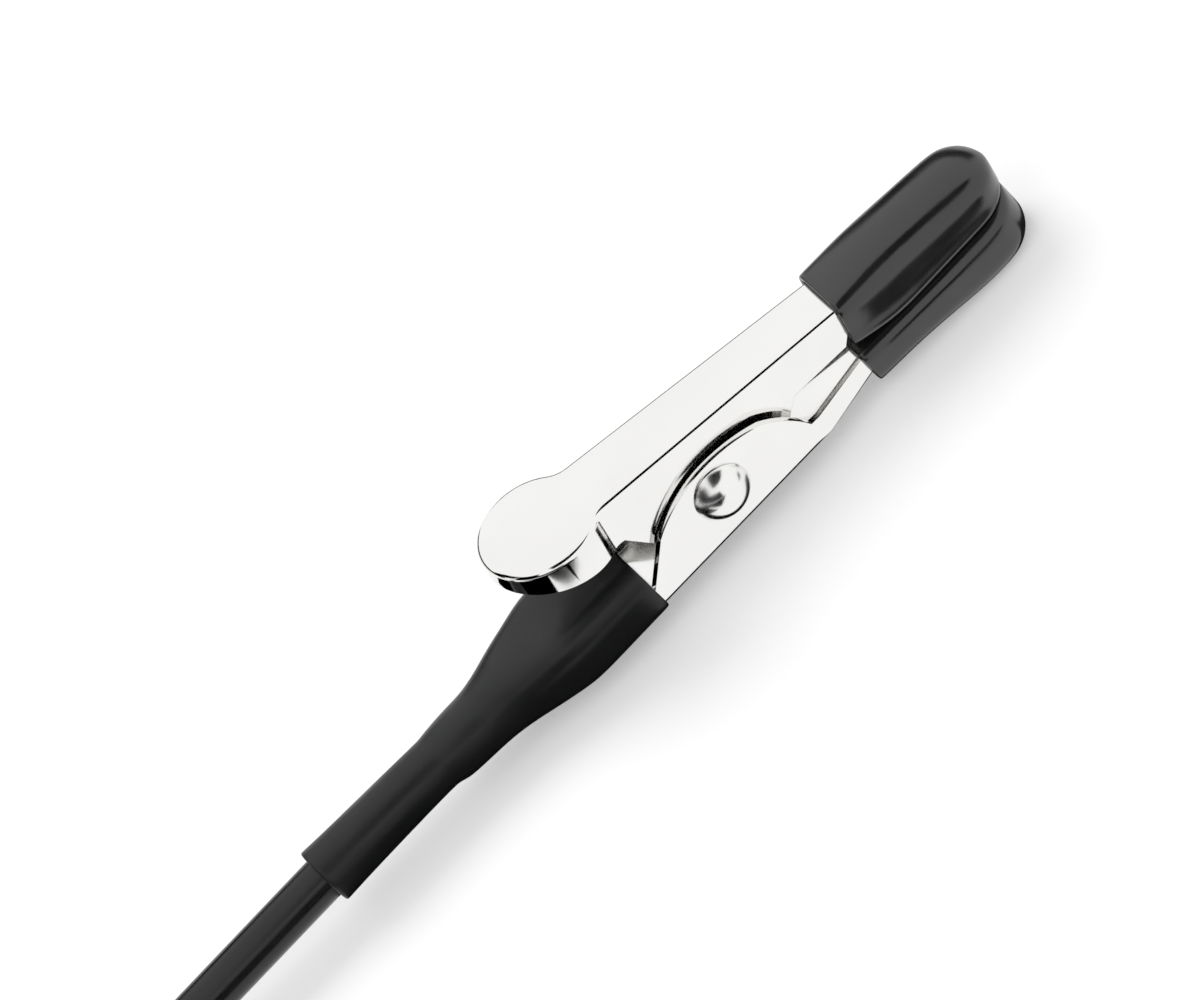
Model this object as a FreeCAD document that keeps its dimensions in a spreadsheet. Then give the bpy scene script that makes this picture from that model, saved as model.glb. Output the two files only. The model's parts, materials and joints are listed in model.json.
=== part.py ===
import FreeCAD, Part
import Sketcher
import math
import os

from FreeCAD import Placement, Rotation, Vector

# Magnetic crocodile clip on a bendable arm with a magnetic foot. All lengths are in millimetres.
# +Z is up, +X runs from the foot to the jaw tips. The origin is the middle of the foot's magnetic face.
# The clip's own frame has its origin on the lower jaw's underside, below the heat-shrink's front edge.
# The upper jaw's own frame has its origin on the rivet, with X along the jaw and Z out of its flat roof.

SIZES = [
    ("sheet_gauge", 0.6, "thickness of both stampings"),
    ("bend_radius", 0.5, "outer radius of the bends in the sheet"),
    ("seat_gap", 0.02, "gap between pieces that seat on each other"),
    ("slip_gap", 0.05, "gap round pieces that slip over or into each other"),
    ("pivot_x", 9.0, "rivet ahead of the heat-shrink's front edge"),
    ("pivot_height", 4.3, "rivet above the lower jaw's underside"),
    ("lower_width", 7.6, "lower jaw across its outer ears"),
    ("lower_shoulder", 18.3, "where the lower jaw starts to narrow"),
    ("lower_neck", 23.6, "where it has narrowed to its front"),
    ("lower_neck_width", 5.2, "its width there"),
    ("lower_tip_width", 4.7, "its width at the tip"),
    ("lower_tip", 39.3, "its tip ahead of the heat-shrink's front edge"),
    ("lower_flange", 2.1, "height of its front flanges at the tooth tips"),
    ("shoulder_flange", 2.35, "height of its flanges just ahead of the ears"),
    ("ear_rear_height", 2.0, "height of the outer ear at its rear end"),
    ("ear_crest", 9.3, "crest of the outer ear"),
    ("ear_crest_height", 7.45, "height of the crest"),
    ("ear_knee", 3.1, "knee of the ear's rear edge"),
    ("ear_knee_drop", 2.0, "that knee below the crest"),
    ("ear_knee_round", 1.6, "radius of the knee"),
    ("ear_brow", 14.6, "where the ear turns down at the front"),
    ("ear_brow_drop", 1.15, "that place below the crest"),
    ("ear_front", 17.5, "front end of the outer ear"),
    ("ear_front_centre", 9.67, "centre of the arc that runs down to it"),
    ("tail_reach", 7.5, "length of the tail at full width"),
    ("tail_flange", 3.5, "height of the tail's flanges"),
    ("flange_end", 11.5, "where the tail's flanges end"),
    ("tongue_start", 14.0, "where the tail has narrowed to its tongue"),
    ("tongue_end", 20.5, "rear end of the tail's tongue"),
    ("tongue_width", 2.4, "width of the tongue"),
    ("jaw_droop", 10.0, "degrees that the closed upper jaw slopes down to its tip"),
    ("roof", 6.0, "upper jaw's flat roof above the rivet"),
    ("pad_setback", 13.0, "centre of the thumb pad behind the rivet"),
    ("pad_radius", 5.05, "radius of the thumb pad"),
    ("neck_round", 2.0, "radius where the pad runs into the jaw"),
    ("upper_rear_width", 6.5, "width of the upper jaw's taper at the pad's centre"),
    ("upper_tip_width", 4.05, "its width at the tip"),
    ("upper_tip", 30.2, "its tip ahead of the rivet"),
    ("skirt_rear", 1.6, "depth of the pad's skirt at its rear"),
    ("skirt_front", 4.2, "depth of the skirt at its front corner"),
    ("skirt_end", 8.3, "that corner behind the rivet"),
    ("inner_ear_drop", 2.5, "inner ear below the rivet"),
    ("inner_ear_back", 4.9, "lower rear corner of the inner ear behind the rivet"),
    ("inner_ear_front", 5.4, "its lower front corner ahead of the rivet"),
    ("inner_ear_round", 2.3, "radius of those corners"),
    ("notch", 8.94, "notch ahead of the inner ear"),
    ("flange_rise", 0.2, "how far the flanges clear the sleeve before the teeth"),
    ("notch_depth", 4.05, "depth of the flange at the notch"),
    ("sleeve_start", 15.0, "rear rim of the upper sleeve ahead of the rivet"),
    ("flange_at_sleeve", 3.6, "depth of the upper flange at that rim"),
    ("mouth_height", 2.9, "closing plane of the mouth above the lower jaw's underside"),
    ("mouth_gap", 0.1, "gap between the two sleeves of the closed mouth"),
    ("tip_round", 1.6, "radius of the jaws' corners at the tip"),
    ("tooth_pitch", 1.3, "pitch of the teeth"),
    ("tooth_depth", 0.6, "depth of the teeth"),
    ("tooth_gap", 1.09, "width of the gaps between the teeth"),
    ("tooth_count", 7, "teeth on each jaw"),
    ("tooth_start", 10.3, "first lower tooth behind the jaw's tip"),
    ("sleeve_wall", 0.6, "wall of the soft sleeves"),
    ("sleeve_round", 1.1, "radius of their long edges"),
    ("hollow_round", 0.3, "radius of the long edges of their hollows"),
    ("lip_round", 0.4, "rounding of their noses at the mouth"),
    ("upper_sleeve_tip", 31.85, "tip of the upper sleeve ahead of the rivet"),
    ("upper_sleeve_width", 6.8, "its full width"),
    ("upper_sleeve_rim_width", 6.25, "its width at the rear rim"),
    ("upper_sleeve_rim_top", 0.71, "top of its rim above the roof"),
    ("upper_sleeve_nose_top", 1.8, "its highest point above the roof"),
    ("upper_sleeve_lip", 19.8, "where its lower lip meets the closing plane"),
    ("lower_sleeve_rim", 23.7, "rear rim of the lower sleeve"),
    ("lower_sleeve_tip", 41.0, "tip of the lower sleeve"),
    ("lower_sleeve_width", 7.2, "its full width"),
    ("lower_sleeve_rim_width", 6.6, "its width at the rear rim"),
    ("rim_belly", 1.0, "rim of the lower sleeve below the jaw"),
    ("belly", 2.0, "lowest part of the lower sleeve below the jaw"),
    ("belly_slope", 28.0, "where its underside starts to slope down"),
    ("belly_start", 34.5, "start of the flat that the clip lies on"),
    ("nose_round", 1.3, "rounding of the sleeves' noses, above and below"),
    ("rivet_radius", 1.1, "radius of the rivet's shank"),
    ("rivet_head_radius", 2.15, "radius of its heads"),
    ("rivet_dome", 1.2, "height of its domed head"),
    ("rivet_wall", 0.5, "upright side of that head"),
    ("rivet_tail_dome", 0.9, "height of its formed head"),
    ("wire_radius", 0.4, "radius of the spring's wire"),
    ("coil_radius", 1.85, "mean radius of the spring's coil"),
    ("coil_turns", 3, "whole turns of the coil"),
    ("coil_pitch", 0.95, "pitch of the coil"),
    ("upper_leg_reach", 10.0, "end of the upper leg behind the rivet"),
    ("lower_leg_reach", 7.2, "end of the lower leg behind the rivet"),
    ("tube_wall", 0.5, "wall of the heat-shrink"),
    ("tube_top", 5.25, "top of its wide part above the jaw's underside"),
    ("tube_top_round", 2.0, "radius of its upper edges"),
    ("tube_base_round", 0.9, "radius of its lower edges"),
    ("tube_slack", 0.4, "where it has narrowed to the tongue, behind the tongue's start"),
    ("tongue_tube_round", 1.5, "radius of its lower edges over the tongue"),
    ("tube_step", 21.3, "where it has shrunk on to the bare arm"),
    ("tube_reach", 33.6, "its rear end"),
    ("tube_flare", 0.16, "growth of its radius at the rear end"),
    ("arm_radius", 1.86, "radius of the arm's sheath"),
    ("core_radius", 1.2, "radius of the arm's core"),
    ("sheath_start", 9.0, "front end of the sheath behind the heat-shrink's front edge"),
    ("core_start", 2.4, "front end of the core"),
    ("ferrule_length", 6.0, "length of the crimped ferrule"),
    ("arm_free", 137.0, "arm between the heat-shrink and the foot"),
    ("foot_radius", 9.0, "radius of the foot"),
    ("cup_height", 4.5, "height of the steel pot"),
    ("cup_wall", 1.4, "wall of the pot"),
    ("cup_roof", 1.3, "thickness of the pot's closed side"),
    ("cup_rim_round", 0.35, "radius of the pot's rim"),
    ("magnet_gap", 0.2, "glue gap round the magnet"),
    ("magnet_recess", 0.2, "magnet behind the pot's rim"),
    ("cap_height", 6.8, "height of the cap"),
    ("cap_round", 1.5, "radius of the cap's top edge"),
    ("arm_axis", 7.6, "axis of the arm's hole above the surface"),
    ("sheath_entry", 2.2, "sheath inside the cap"),
    ("core_end", 2.6, "rear end of the core ahead of the foot's centre"),
    ("screw_radius", 1.5, "radius of the screws"),
    ("screw_head_radius", 2.8, "radius of the countersunk head"),
    ("screw_reach", 7.0, "end of the countersunk screw above the surface"),
    ("screw_chamfer", 0.4, "chamfer at that end"),
    ("grub_place", 5.0, "grub screw ahead of the foot's centre"),
    ("grub_recess", 0.2, "grub screw below the cap's top"),
    ("grub_point", 0.6, "cone at the grub screw's lower end"),
    ("socket_radius", 0.85, "hexagon sockets, centre to corner"),
    ("socket_depth", 1.0, "depth of the hexagon sockets"),
]

# Arm's route between its straight ends, as places ahead of the foot's centre, to the side and up.
ARM_CORNERS = [(129.0, 0.0, None), (82.0, 2.0, 0.9), (34.0, 0.0, None)]
ARC_SHARE = 0.45

# Places of the sections round a sleeve's nose, in degrees from its full width to its tip.
NOSE_ANGLES = (25, 45, 62, 78)

# Flat left between the arcs of a section that is all but round.
RING_FLAT = 0.06

# How far an edge may lie from the place where it is looked for. Where the pad meets the jaw's taper is less sure.
EDGE_NEAR = 0.05
NECK_NEAR = 0.4

doc = FreeCAD.newDocument("crocodile_clip")
sheet = doc.addObject("Spreadsheet::Sheet", "dim")
for row, (alias, number, meaning) in enumerate(SIZES, start=1):
    sheet.set(f"A{row}", meaning)
    sheet.set(f"B{row}", str(number))
    sheet.setAlias(f"B{row}", alias)
doc.recompute()

CLIP_X = "dim.foot_radius + dim.arm_free + dim.tube_reach"
ARM_HEIGHT = "dim.sheet_gauge + dim.seat_gap + dim.arm_radius"
parts = []


def value(expression):
    """Number that an expression on the sheet gives."""
    return float(sheet.evalExpression(str(expression)))


def size(alias):
    """Number in one cell of the sheet."""
    return value(f"dim.{alias}")


def new_body(label):
    """Empty body for one piece."""
    body = doc.addObject("PartDesign::Body", label)
    body.Label = label
    parts.append(body)
    return body


def new_sketch(body, name, role, offset="0"):
    """Sketch on one of the body's own origin planes, moved along its normal."""
    plane = [item for item in body.Origin.OriginFeatures if item.Role == role][0]
    sketch = body.newObject("Sketcher::SketchObject", name)
    sketch.AttachmentSupport = [(plane, "")]
    sketch.MapMode = "FlatFace"
    sketch.setExpression("AttachmentOffset.Base.z", offset)
    return sketch


def pin(sketch, geometry, point, x, y):
    """Hold one point of the sketch at two expressions."""
    for kind, expression in (("DistanceX", x), ("DistanceY", y)):
        if expression is not None:
            number = value(expression)
            index = sketch.addConstraint(Sketcher.Constraint(kind, -1, 1, geometry, point, number))
            sketch.setExpression(f"Constraints[{index}]", expression)


def arc_between(start, end, centre_x):
    """Arc of less than half a circle between two points, and whether it runs forwards."""
    rise = end.y - start.y
    run = (end.x - centre_x) ** 2 - (start.x - centre_x) ** 2
    centre = Vector(centre_x, (start.y + end.y) / 2 + run / (2 * rise), 0)
    first = math.atan2(start.y - centre.y, start.x - centre.x)
    last = math.atan2(end.y - centre.y, end.x - centre.x)
    forwards = (last - first) % (2 * math.pi) < math.pi
    if not forwards:
        first, last = last, first
    circle = Part.Circle(centre, Vector(0, 0, 1), (start - centre).Length)
    return Part.ArcOfCircle(circle, first, last), forwards


def outline(sketch, corners):
    """Closed outline. A corner is x, y and, where an arc leaves it, the x of the arc's centre."""
    base = sketch.GeometryCount
    count = len(corners)
    points = [Vector(value(corner[0]), value(corner[1]), 0) for corner in corners]
    ends = []
    for index, corner in enumerate(corners):
        start, end = points[index], points[(index + 1) % count]
        if len(corner) == 3:
            arc, forwards = arc_between(start, end, value(corner[2]))
            sketch.addGeometry(arc, False)
            ends.append((1, 2) if forwards else (2, 1))
        else:
            sketch.addGeometry(Part.LineSegment(start, end), False)
            ends.append((1, 2))
    for index in range(count):
        after = (index + 1) % count
        joint = Sketcher.Constraint("Coincident", base + index, ends[index][1], base + after, ends[after][0])
        sketch.addConstraint(joint)
    for index, corner in enumerate(corners):
        pin(sketch, base + index, ends[index][0], corner[0], corner[1])
        if len(corner) == 3:
            pin(sketch, base + index, 3, corner[2], None)


def circle(sketch, x, y, radius):
    """Circle with its centre and radius bound to the sheet."""
    index = sketch.addGeometry(Part.Circle(Vector(value(x), value(y), 0), Vector(0, 0, 1), value(radius)), False)
    pin(sketch, index, 3, x, y)
    held = sketch.addConstraint(Sketcher.Constraint("Radius", index, value(radius)))
    sketch.setExpression(f"Constraints[{held}]", radius)


def mirrored(points):
    """Outline that is the same on both sides of the X axis, from the corners on one side."""
    return list(points) + [(x, f"-({y})") for x, y in reversed(points)]


def volume_of(body):
    """Volume of the body as it stands."""
    doc.recompute()
    return body.Shape.Volume if body.Tip else 0.0


def pad(body, name, sketch, length, midplane=False, reverse=False):
    """Pad that adds to the body."""
    before = volume_of(body)
    feature = body.newObject("PartDesign::Pad", name)
    feature.Profile = sketch
    feature.Midplane = midplane
    feature.Reversed = reverse
    feature.setExpression("Length", length)
    if volume_of(body) <= before:
        raise RuntimeError(f"{body.Label}: {name} adds nothing")
    return feature


def pocket(body, name, sketch, length, midplane=False, reverse=False):
    """Pocket that takes from the body."""
    before = volume_of(body)
    feature = body.newObject("PartDesign::Pocket", name)
    feature.Profile = sketch
    feature.Midplane = midplane
    feature.Reversed = reverse
    feature.setExpression("Length", length)
    if volume_of(body) >= before:
        raise RuntimeError(f"{body.Label}: {name} cuts nothing")
    return feature


def revolve(body, name, sketch, axis="V_Axis"):
    """Full turn of a profile about an axis of its sketch."""
    feature = body.newObject("PartDesign::Revolution", name)
    feature.Profile = sketch
    feature.ReferenceAxis = (sketch, [axis])
    feature.Angle = 360
    if volume_of(body) <= 0:
        raise RuntimeError(f"{body.Label}: {name} adds nothing")
    return feature


def edges_where(shape, test):
    """Names of the edges whose middle and direction pass a test."""
    names = []
    for index, edge in enumerate(shape.Edges, start=1):
        middle = edge.valueAt((edge.FirstParameter + edge.LastParameter) / 2)
        along = edge.tangentAt((edge.FirstParameter + edge.LastParameter) / 2)
        if test(middle, along, edge):
            names.append(f"Edge{index}")
    return names


def fillet(body, name, test, radius):
    """Fillet on the edges of the body that pass a test."""
    doc.recompute()
    base = body.Tip
    names = edges_where(base.Shape, test)
    if not names:
        raise RuntimeError(f"{body.Label}: {name} finds no edge")
    feature = body.newObject("PartDesign::Fillet", name)
    feature.Base = (base, names)
    feature.setExpression("Radius", radius)
    doc.recompute()
    return feature


def across_at(x, z):
    """Test for edges that run across the piece at one place of its side view."""
    px, pz = value(x), value(z)

    def test(middle, along, edge):
        level = abs(middle.x - px) < EDGE_NEAR and abs(middle.z - pz) < EDGE_NEAR
        return level and abs(along.y) > 0.99

    return test


def upright_at(x, near=EDGE_NEAR):
    """Test for upright edges at one place along the piece."""
    px = value(x)

    def test(middle, along, edge):
        return abs(middle.x - px) < near and abs(along.z) > 0.99

    return test


def flat_rim(z):
    """Test for the edges that lie at one height."""
    level = value(z)

    def test(middle, along, edge):
        return abs(middle.z - level) < 1e-4 and abs(along.z) < 1e-4

    return test


def set_in_clip(piece):
    """Place a piece of the clip's own frame."""
    piece.setExpression("Placement.Base.x", CLIP_X)
    piece.setExpression("Placement.Base.z", "dim.belly")


def set_on_pivot(piece, droop):
    """Place a piece whose own frame has its origin on the rivet."""
    piece.Placement.Rotation = Rotation(Vector(0, 1, 0), 1)
    piece.setExpression("Placement.Base.x", f"{CLIP_X} + dim.pivot_x")
    piece.setExpression("Placement.Base.z", "dim.belly + dim.pivot_height")
    piece.setExpression("Placement.Rotation.Angle", "dim.jaw_droop" if droop else "0")


def teeth(body, first, along, mouth, rise, reach):
    """Row of tooth gaps in the mouth edge. First is the row's start, rise its slope, along its direction."""
    x, z = first
    sketch = new_sketch(body, "tooth_gap", "XZ_Plane")
    half = "dim.tooth_gap / 2"
    outline(sketch, [
        (f"{x} - {half}", f"{z} - ({half}) * {rise}"),
        (f"{x} + {half}", f"{z} + ({half}) * {rise}"),
        (x, f"{z} {mouth} dim.tooth_depth"),
    ])
    gap = pocket(body, "tooth_cut", sketch, reach, midplane=True)
    before = volume_of(body)
    row = body.newObject("PartDesign::LinearPattern", "tooth_row")
    row.Originals = [gap]
    row.Direction = (sketch, [along])
    row.setExpression("Length", "dim.tooth_pitch * (dim.tooth_count - 1)")
    row.setExpression("Occurrences", "dim.tooth_count")
    body.Tip = row
    if volume_of(body) >= before:
        raise RuntimeError(f"{body.Label}: the tooth row cuts nothing")


def make_lower_jaw():
    """Channel with outer ears, toothed front and a tail that ends in a tongue."""
    body = new_body("lower_jaw")
    top = "dim.ear_crest_height + 1"
    knee_height = "dim.ear_crest_height - dim.ear_knee_drop"
    plan = new_sketch(body, "plan", "XY_Plane")
    outline(plan, mirrored([
        ("-dim.tongue_end", "dim.tongue_width / 2"),
        ("-dim.tongue_start", "dim.tongue_width / 2"),
        ("-dim.tail_reach", "dim.lower_width / 2"),
        ("dim.lower_shoulder", "dim.lower_width / 2"),
        ("dim.lower_neck", "dim.lower_neck_width / 2"),
        ("dim.lower_tip", "dim.lower_tip_width / 2"),
    ]))
    pad(body, "blank", plan, top)
    fillet(body, "tip_corners", upright_at("dim.lower_tip"), "dim.tip_round")

    side = new_sketch(body, "side", "XZ_Plane")
    outline(side, [
        ("-dim.tongue_end - 1", "dim.sheet_gauge"),
        ("-dim.flange_end", "dim.sheet_gauge"),
        ("-dim.tail_reach", "dim.tail_flange"),
        ("-dim.bend_radius * 2", "dim.tail_flange"),
        ("0", "dim.ear_rear_height"),
        ("dim.ear_knee", knee_height, "dim.ear_crest"),
        ("dim.ear_crest", "dim.ear_crest_height", "dim.ear_crest"),
        ("dim.ear_brow", "dim.ear_crest_height - dim.ear_brow_drop", "dim.ear_front_centre"),
        ("dim.ear_front", "dim.shoulder_flange"),
        ("dim.lower_neck", "dim.lower_flange"),
        ("dim.lower_tip + 1", "dim.lower_flange"),
        ("dim.lower_tip + 1", f"{top} + 1"),
        ("-dim.tongue_end - 1", f"{top} + 1"),
    ])
    pocket(body, "side_trim", side, "dim.lower_width + 2", midplane=True)
    fillet(body, "knee", across_at("dim.ear_knee", knee_height), "dim.ear_knee_round")
    fillet(body, "bends", flat_rim("0"), "dim.bend_radius")

    inside = new_sketch(body, "inside", "XY_Plane", "dim.sheet_gauge")
    outline(inside, mirrored([
        ("-dim.tongue_start", "dim.tongue_width / 2 - dim.sheet_gauge"),
        ("-dim.tail_reach", "dim.lower_width / 2 - dim.sheet_gauge"),
        ("dim.lower_shoulder", "dim.lower_width / 2 - dim.sheet_gauge"),
        ("dim.lower_neck", "dim.lower_neck_width / 2 - dim.sheet_gauge"),
        ("dim.lower_tip - dim.sheet_gauge", "dim.lower_tip_width / 2 - dim.sheet_gauge"),
    ]))
    pocket(body, "channel", inside, top, reverse=True)

    hole = new_sketch(body, "rivet_hole", "XZ_Plane")
    circle(hole, "dim.pivot_x", "dim.pivot_height", "dim.rivet_radius + dim.seat_gap")
    pocket(body, "rivet_holes", hole, "dim.lower_width + 2", midplane=True)
    first = ("dim.lower_tip - dim.tooth_start", "dim.lower_flange")
    teeth(body, first, "H_Axis", "-", "0", "dim.lower_width + 2")
    set_in_clip(body)


def mouth_line(place, lift="0"):
    """Height of the closed mouth's plane in the upper jaw's frame, at a place along the jaw."""
    drop = "(dim.mouth_height + dim.mouth_gap / 2 - dim.pivot_height)"
    return f"{drop} / cos(dim.jaw_droop * 1deg) + ({place}) * tan(dim.jaw_droop * 1deg) + {lift}"


def make_upper_jaw():
    """Channel with a flat roof, a round thumb pad with a skirt, inner ears and a toothed front."""
    body = new_body("upper_jaw")
    drop = "dim.roof + dim.inner_ear_drop + 1"
    tooth_lift = "dim.sleeve_wall + dim.slip_gap * 2"
    strip = new_sketch(body, "strip", "XY_Plane", "dim.roof")
    outline(strip, mirrored([
        ("-dim.pad_setback", "dim.upper_rear_width / 2"),
        ("dim.upper_tip", "dim.upper_tip_width / 2"),
    ]))
    pad(body, "blank", strip, drop, reverse=True)
    disc = new_sketch(body, "disc", "XY_Plane", "dim.roof")
    circle(disc, "-dim.pad_setback", "0", "dim.pad_radius")
    pad(body, "pad_blank", disc, drop, reverse=True)
    doc.recompute()
    meeting = math.sqrt(size("pad_radius") ** 2 - (size("upper_rear_width") / 2) ** 2)
    neck = f"{meeting - size('pad_setback')}"
    fillet(body, "neck", upright_at(neck, NECK_NEAR), "dim.neck_round")
    fillet(body, "tip_corners", upright_at("dim.upper_tip"), "dim.tip_round")

    side = new_sketch(body, "side", "XZ_Plane")
    rear = "-dim.pad_setback - dim.pad_radius - 1"
    outline(side, [
        (rear, "dim.roof - dim.skirt_rear"),
        ("-dim.skirt_end", "dim.roof - dim.skirt_front"),
        ("-dim.inner_ear_back", "-dim.inner_ear_drop"),
        ("dim.inner_ear_front", "-dim.inner_ear_drop"),
        ("dim.notch", "dim.roof - dim.notch_depth"),
        ("dim.sleeve_start - dim.sheet_gauge", "dim.roof - dim.flange_at_sleeve"),
        ("dim.sleeve_start - dim.slip_gap", f"dim.roof - dim.flange_at_sleeve + {tooth_lift} + dim.flange_rise"),
        ("dim.upper_sleeve_lip", mouth_line("dim.upper_sleeve_lip", f"{tooth_lift} + dim.flange_rise")),
        ("dim.upper_tip + 1", mouth_line("dim.upper_tip + 1", tooth_lift)),
        ("dim.upper_tip + 1", "-dim.inner_ear_drop - 2"),
        (rear, "-dim.inner_ear_drop - 2"),
    ])
    pocket(body, "side_trim", side, "dim.pad_radius * 2 + 2", midplane=True)
    for name in ("-dim.inner_ear_back", "dim.inner_ear_front"):
        fillet(body, "ear_fillet", across_at(name, "-dim.inner_ear_drop"), "dim.inner_ear_round")
    fillet(body, "bends", flat_rim("dim.roof"), "dim.bend_radius")

    wall = "dim.sheet_gauge"
    inside = new_sketch(body, "inside", "XY_Plane", f"dim.roof - {wall}")
    outline(inside, mirrored([
        ("-dim.pad_setback", f"dim.upper_rear_width / 2 - {wall}"),
        (f"dim.upper_tip - {wall}", f"dim.upper_tip_width / 2 - {wall}"),
    ]))
    pocket(body, "channel", inside, drop)
    round_inside = new_sketch(body, "round_inside", "XY_Plane", f"dim.roof - {wall}")
    circle(round_inside, "-dim.pad_setback", "0", f"dim.pad_radius - {wall}")
    pocket(body, "pad_hollow", round_inside, drop)

    hole = new_sketch(body, "rivet_hole", "XZ_Plane")
    circle(hole, "0", "0", "dim.rivet_radius + dim.slip_gap")
    pocket(body, "rivet_holes", hole, "dim.pad_radius * 2", midplane=True)
    start = "dim.upper_tip - dim.tooth_start + dim.tooth_pitch / 2"
    first = (start, mouth_line(start, tooth_lift))
    teeth(body, first, "Edge1", "+", "tan(dim.jaw_droop * 1deg)", "dim.pad_radius * 2")
    set_on_pivot(body, droop=True)


def ring_section(body, name, place, half, low, high, low_round, high_round):
    """Rounded section across the piece at one place along it."""
    sketch = new_sketch(body, name, "YZ_Plane", place)
    outline(sketch, [
        (f"-({half}) + {low_round}", low),
        (f"{half} - {low_round}", low, f"{half} - {low_round}"),
        (half, f"{low} + {low_round}"),
        (half, f"{high} - {high_round}", f"{half} - {high_round}"),
        (f"{half} - {high_round}", high),
        (f"-({half}) + {high_round}", high, f"-({half}) + {high_round}"),
        (f"-({half})", f"{high} - {high_round}"),
        (f"-({half})", f"{low} + {low_round}", f"-({half}) + {low_round}"),
    ])
    return sketch


def loft(body, name, sections, kind="AdditiveLoft"):
    """Loft through sections, straight from each to the next."""
    feature = body.newObject(f"PartDesign::{kind}", name)
    feature.Profile = sections[0]
    feature.Sections = sections[1:]
    feature.Ruled = True
    doc.recompute()
    return feature


def sock_skin(body, prefix, stations, nose, wall):
    """Sections of a sock from its rim to its round nose. The hollow is the same form, one wall smaller."""
    corner = "dim.sleeve_round" if wall == "0" else "dim.hollow_round"
    if wall != "0":
        place, *form = stations[0]
        stations = [(f"{place} - 1", *form)] + stations
    sections = []
    for index, (place, half, low, high) in enumerate(stations):
        form = (f"({half} - {wall})", f"({low}) + {wall}", f"({high}) - {wall}")
        sections.append(ring_section(body, f"{prefix}_{index}", place, *form, corner, corner))
    start, half = stations[-1][:2]
    for angle in NOSE_ANGLES:
        share = f"cos({angle}deg)"
        place = f"({start} + ({nose['tip']} - {wall} - ({start})) * sin({angle}deg))"
        low, high = nose["heights"](place)
        low_close = f"{nose['low_round']} * (1 - {share}) + {wall}"
        high_close = f"{nose['high_round']} * (1 - {share}) + {wall}"
        form = (f"(({half} - {wall}) * {share})", f"({low}) + {low_close}", f"({high}) - ({high_close})")
        round_off = f"({corner} * {share})"
        sections.append(ring_section(body, f"{prefix}_nose_{angle}", place, *form, round_off, round_off))
    return sections


def make_sleeve(label, stations, nose, droop):
    """Soft sock, open at its rear rim."""
    body = new_body(label)
    loft(body, "form", sock_skin(body, "outer", stations, nose, "0"))
    before = volume_of(body)
    loft(body, "hollow", sock_skin(body, "inner", stations, nose, "dim.sleeve_wall"), "SubtractiveLoft")
    if volume_of(body) >= before:
        raise RuntimeError(f"{label}: the hollow cuts nothing")
    if droop:
        set_on_pivot(body, droop=True)
    else:
        set_in_clip(body)


def make_upper_sleeve():
    """Sock on the upper jaw's tip, with its flat lip on the closing plane."""
    tip = "dim.upper_sleeve_tip"
    rim, lip = "dim.sleeve_start", "dim.upper_sleeve_lip"
    full = "dim.upper_sleeve_width / 2"
    crown = f"({tip} - {full})"
    rim_top = "dim.roof + dim.upper_sleeve_rim_top"
    crown_top = "dim.roof + dim.upper_sleeve_nose_top"
    rise = f"({crown_top} - ({rim_top})) * ({lip} - {rim}) / ({crown} - {rim})"
    stations = [
        (rim, "dim.upper_sleeve_rim_width / 2", "dim.roof - dim.flange_at_sleeve", rim_top),
        (lip, full, mouth_line(lip), f"{rim_top} + {rise}"),
        (crown, full, mouth_line(crown), crown_top),
    ]
    nose = {
        "tip": tip,
        "heights": lambda place: (mouth_line(place), crown_top),
        "low_round": "dim.lip_round",
        "high_round": "dim.nose_round",
    }
    make_sleeve("upper_jaw_sleeve", stations, nose, droop=True)


def make_lower_sleeve():
    """Sock on the lower jaw's tip, with the flat that the clip lies on."""
    tip = "dim.lower_sleeve_tip"
    full = "dim.lower_sleeve_width / 2"
    rim_half = "dim.lower_sleeve_rim_width / 2"
    lip = "dim.mouth_height - dim.mouth_gap / 2"
    stations = [
        ("dim.lower_sleeve_rim", rim_half, "-dim.rim_belly", lip),
        ("dim.belly_slope", f"({rim_half} + {full}) / 2", "-dim.rim_belly", lip),
        ("dim.belly_start", full, "-dim.belly", lip),
        (f"({tip} - {full})", full, "-dim.belly", lip),
    ]
    nose = {
        "tip": tip,
        "heights": lambda place: ("-dim.belly", lip),
        "low_round": "dim.nose_round",
        "high_round": "dim.lip_round",
    }
    make_sleeve("lower_jaw_sleeve", stations, nose, droop=False)


def make_rivet():
    """Rivet across the ears, with a domed head and a flatter formed one."""
    body = new_body("pivot_rivet")
    face = "dim.lower_width / 2 + dim.seat_gap"
    profile = new_sketch(body, "profile", "XY_Plane")
    outline(profile, [
        ("0", f"-({face} + dim.rivet_dome)", "0"),
        ("dim.rivet_head_radius", f"-({face} + dim.rivet_wall)"),
        ("dim.rivet_head_radius", f"-({face})"),
        ("dim.rivet_radius", f"-({face})"),
        ("dim.rivet_radius", face),
        ("dim.rivet_head_radius", face, "0"),
        ("0", f"{face} + dim.rivet_tail_dome"),
    ])
    revolve(body, "rivet", profile)
    set_on_pivot(body, droop=False)


def tangent_leg(reach, height):
    """Direction of a spring leg that ends at a place behind and above the rivet, and its coil angle."""
    distance = math.hypot(reach, height)
    outward = math.atan2(height, -reach) % (2 * math.pi)
    turn = math.asin(size("coil_radius") / distance)
    return outward, turn, math.sqrt(distance ** 2 - size("coil_radius") ** 2)


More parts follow.
